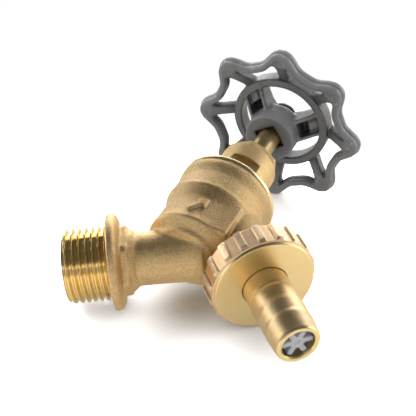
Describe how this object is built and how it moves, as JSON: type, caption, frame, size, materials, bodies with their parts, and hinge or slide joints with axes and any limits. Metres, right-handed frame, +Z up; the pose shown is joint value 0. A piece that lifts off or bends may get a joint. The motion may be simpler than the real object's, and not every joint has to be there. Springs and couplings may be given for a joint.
{
  "type": "hose bib",
  "caption": "Brass hose bib with a sloping spindle and lobed handwheel, a male wall thread with flange, and a ribbed union nut holding a barbed hose tail with a back-flow insert.",
  "frame": {"origin": "centre of the wall-side face of the inlet flange, on the inlet axis", "axes": "+X along the inlet axis, out of the wall; +Z up as installed, with the handwheel above and the hose tail below; the castings are symmetric about the XZ plane"},
  "size_m": [0.0921, 0.056, 0.1129],
  "materials": {
    "cast_brass": "shot-blasted casting, fine matt grain",
    "turned_brass": "turned, satin",
    "nut_brass": "as-cast ribs with a turned face",
    "tail_brass": "turned, bright",
    "grey_plastic": "moulded, semi-matt",
    "chrome_steel": "bright plated",
    "spring_steel": "drawn wire",
    "white_plastic": "moulded, satin",
    "black_rubber": "matt",
    "white_packing": "packed ring",
    "red_fibre": "pressed fibre"
  },
  "bodies": {
    "valve": {"valve_body": "cast_brass", "bonnet_gasket": "red_fibre", "bonnet": "turned_brass", "packing_washer": "turned_brass", "gland_packing": "white_packing", "gland_follower": "turned_brass", "gland_nut": "turned_brass"},
    "jumper_group": {"jumper": "turned_brass", "jumper_clip": "spring_steel", "seat_washer": "black_rubber", "washer_nut": "turned_brass"},
    "spindle": {"stem": "turned_brass", "handwheel": "grey_plastic", "handwheel_washer": "chrome_steel", "handwheel_screw": "chrome_steel"},
    "outlet_seal": {"tail_gasket": "black_rubber"},
    "nut": {"union_nut": "nut_brass"},
    "tail": {"hose_tail": "tail_brass", "check_housing": "white_plastic", "check_oring": "black_rubber", "check_spring": "spring_steel"},
    "poppet": {"check_poppet": "white_plastic", "poppet_seal": "black_rubber"}
  },
  "joints": [
    {"name": "spindle_lift", "type": "slide", "parent": "valve", "child": "jumper_group", "axis": [0.497, 0, 0.8678], "range_m": [-0.006, 0]},
    {"name": "handwheel_turn", "type": "hinge", "parent": "jumper_group", "child": "spindle", "pos_m": [0.02105, 0, 0], "axis": [0.497, 0, 0.8678], "range_deg": [-720.1, 0.1]},
    {"name": "nut_advance", "type": "slide", "parent": "valve", "child": "outlet_seal", "axis": [0.2521, 0, -0.9677], "range_m": [0, 0.00363]},
    {"name": "nut_turn", "type": "hinge", "parent": "outlet_seal", "child": "nut", "pos_m": [0.03196, 0, 0.01906], "axis": [0.2521, 0, -0.9677], "range_deg": [-0.1, 720.1]},
    {"name": "tail_swivel", "type": "hinge", "parent": "outlet_seal", "child": "tail", "pos_m": [0.03196, 0, 0.01906], "axis": [0.2521, 0, -0.9677], "continuous": true},
    {"name": "check_open", "type": "slide", "parent": "tail", "child": "poppet", "axis": [0.2521, 0, -0.9677], "range_m": [0, 0.0014], "stiffness_N_per_m": 60, "springref_m": -0.001, "deforming": ["check_spring"]}
  ],
  "couplings": [
    {"joint": "handwheel_turn", "follows": "spindle_lift", "rad_per_m": 2094.4},
    {"joint": "nut_turn", "follows": "nut_advance", "rad_per_m": 3463.7}
  ]
}
